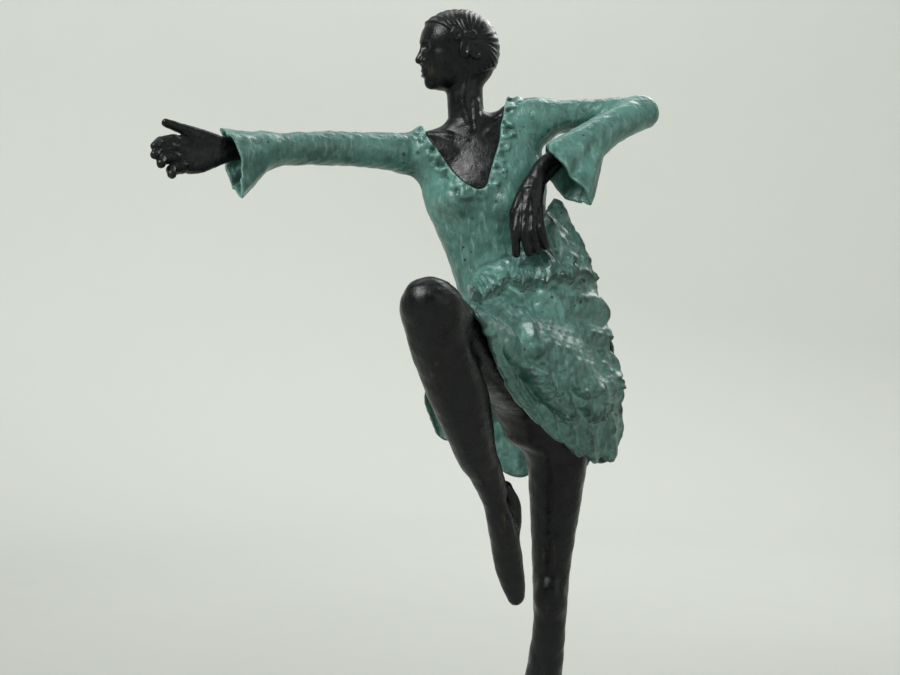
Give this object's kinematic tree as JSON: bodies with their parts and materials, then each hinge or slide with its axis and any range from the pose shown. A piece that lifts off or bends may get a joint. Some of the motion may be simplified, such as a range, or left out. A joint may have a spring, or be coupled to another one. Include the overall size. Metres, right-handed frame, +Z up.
{
  "type": "bronze dancer statuette",
  "caption": "Dancer cast in dark bronze with a green ruffled dress, one knee raised and one arm held out, on a turned black marble base.",
  "frame": {"origin": "centre of the felt pad's underside, on the surface that the statuette stands on", "axes": "+Z up, -Y the side that the figure's raised knee points to, so that +X is to the right when it is seen from the front"},
  "size_m": [0.2183, 0.1512, 0.4615],
  "materials": {
    "dark_bronze": "black patina, satin to glossy, rubbed to brown on the lower leg",
    "green_patina": "green cold-painted patina, satin, worn dark at the edges",
    "brass": "machined",
    "steel": "zinc plated",
    "black_marble": "polished black with pale veins",
    "green_felt": "felt"
  },
  "bodies": {
    "root": {"felt_pad": "green_felt", "plinth_step": "black_marble", "plinth_drum": "black_marble", "foot_plate": "dark_bronze", "mounting_stud": "steel", "stud_washer": "steel", "stud_nut": "brass", "locating_pin": "steel", "standing_leg": "dark_bronze", "raised_leg": "dark_bronze", "pelvis": "dark_bronze", "bodice": "green_patina", "head_and_neck": "dark_bronze", "right_sleeve": "green_patina", "left_sleeve": "green_patina", "right_hand": "dark_bronze", "left_hand": "dark_bronze", "skirt_front": "green_patina", "skirt_back": "green_patina", "standing_hip_dowel": "steel", "raised_hip_dowel": "steel", "waist_dowel_1": "steel", "waist_dowel_2": "steel", "neck_dowel": "steel", "right_shoulder_dowel": "steel", "left_shoulder_dowel": "steel", "right_wrist_dowel": "steel", "left_wrist_dowel": "steel", "skirt_front_pin_1": "brass", "skirt_front_pin_2": "brass", "skirt_back_pin_1": "brass", "skirt_back_pin_2": "brass"}
  },
  "joints": []
}
